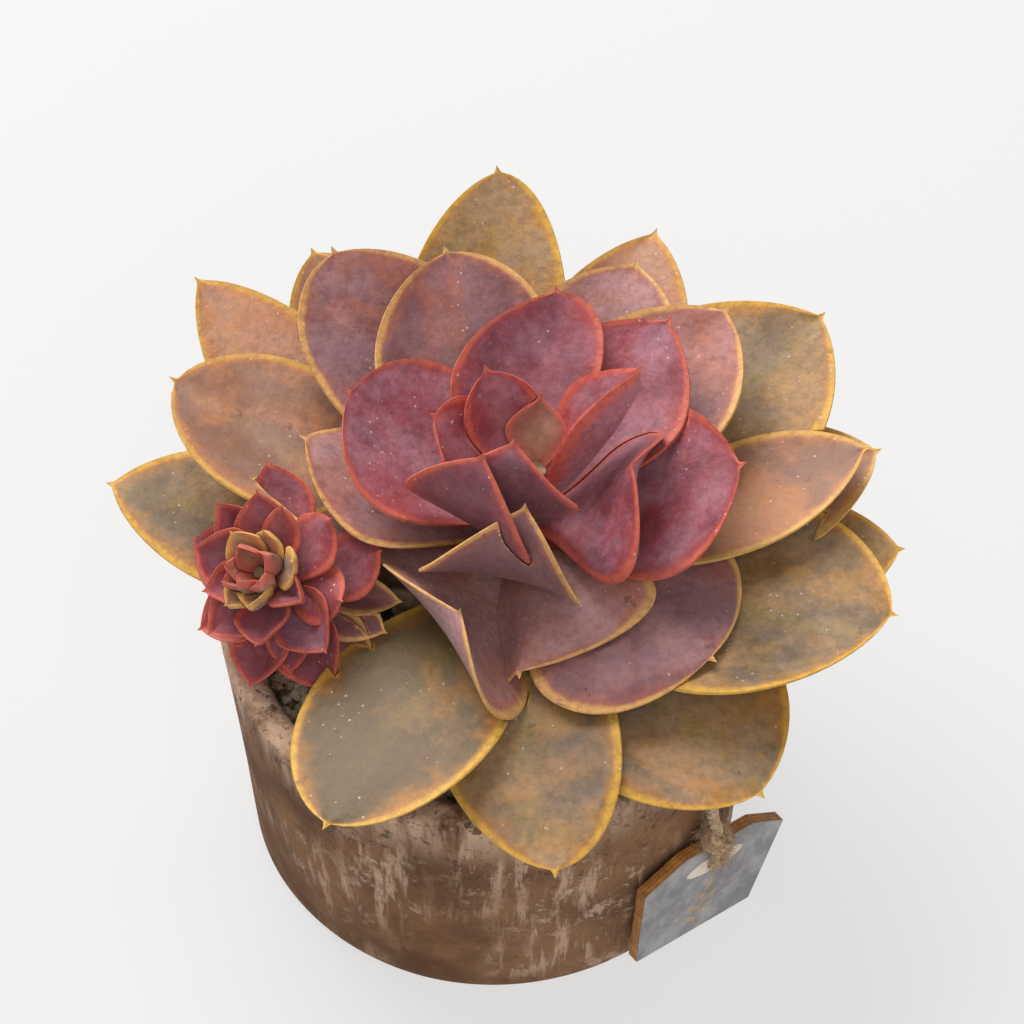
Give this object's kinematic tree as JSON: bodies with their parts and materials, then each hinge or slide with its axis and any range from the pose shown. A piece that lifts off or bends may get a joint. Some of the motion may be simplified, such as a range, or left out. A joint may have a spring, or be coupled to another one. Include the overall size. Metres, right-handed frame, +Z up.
{
  "type": "potted succulent",
  "caption": "Rosette succulent with a small side offset in a thick round clay pot of gritty soil, with a small wooden tag tied through the rim.",
  "frame": {"origin": "centre of the pot's flat underside, on the pot's own axis", "axes": "+Z up along the pot's axis; -Y is the front, the side the lowest leaves and the tag hang on; +X is to the right seen from the front"},
  "size_m": [0.1755, 0.1673, 0.1292],
  "materials": {
    "leaf_olive": "matte",
    "leaf_tawny": "matte",
    "leaf_mauve": "matte",
    "leaf_rose": "satin",
    "leaf_crimson": "satin",
    "leaf_greenish": "satin",
    "pot_clay": "matte",
    "grit": "matte",
    "stem_bark": "matte",
    "tag_wood": "matte",
    "jute": "matte"
  },
  "bodies": {
    "root": {"leaf_inner_01": "leaf_rose", "leaf_inner_02": "leaf_mauve", "leaf_inner_03": "leaf_rose", "leaf_inner_04": "leaf_rose", "leaf_inner_05": "leaf_rose", "leaf_inner_06": "leaf_rose", "leaf_inner_07": "leaf_rose", "leaf_inner_08": "leaf_crimson", "leaf_inner_09": "leaf_crimson", "leaf_inner_10": "leaf_crimson", "leaf_inner_11": "leaf_crimson", "leaf_inner_12": "leaf_greenish", "leaf_middle_01": "leaf_tawny", "leaf_middle_02": "leaf_mauve", "leaf_middle_03": "leaf_mauve", "leaf_middle_04": "leaf_mauve", "leaf_middle_05": "leaf_mauve", "leaf_middle_06": "leaf_mauve", "leaf_middle_07": "leaf_mauve", "leaf_middle_08": "leaf_mauve", "leaf_middle_09": "leaf_mauve", "leaf_outer_01": "leaf_olive", "leaf_outer_02": "leaf_olive", "leaf_outer_03": "leaf_olive", "leaf_outer_04": "leaf_tawny", "leaf_outer_05": "leaf_tawny", "leaf_outer_06": "leaf_olive", "leaf_outer_07": "leaf_tawny", "leaf_outer_08": "leaf_tawny", "leaf_outer_09": "leaf_olive", "leaf_outer_10": "leaf_olive", "leaf_outer_11": "leaf_olive", "leaf_outer_12": "leaf_olive", "leaf_outer_13": "leaf_tawny", "offset_leaf_01": "leaf_mauve", "offset_leaf_02": "leaf_crimson", "offset_leaf_03": "leaf_mauve", "offset_leaf_04": "leaf_crimson", "offset_leaf_05": "leaf_crimson", "offset_leaf_06": "leaf_rose", "offset_leaf_07": "leaf_rose", "offset_leaf_08": "leaf_rose", "offset_leaf_09": "leaf_rose", "offset_leaf_10": "leaf_rose", "offset_leaf_11": "leaf_rose", "offset_leaf_12": "leaf_rose", "offset_leaf_13": "leaf_rose", "offset_leaf_14": "leaf_rose", "offset_leaf_15": "leaf_rose", "offset_leaf_16": "leaf_tawny", "offset_leaf_17": "leaf_tawny", "offset_leaf_18": "leaf_tawny", "offset_leaf_19": "leaf_greenish", "offset_leaf_20": "leaf_greenish", "pot": "pot_clay", "soil": "grit", "stem": "stem_bark", "tag": "tag_wood", "twine": "jute", "twine_knot": "jute"}
  },
  "joints": []
}
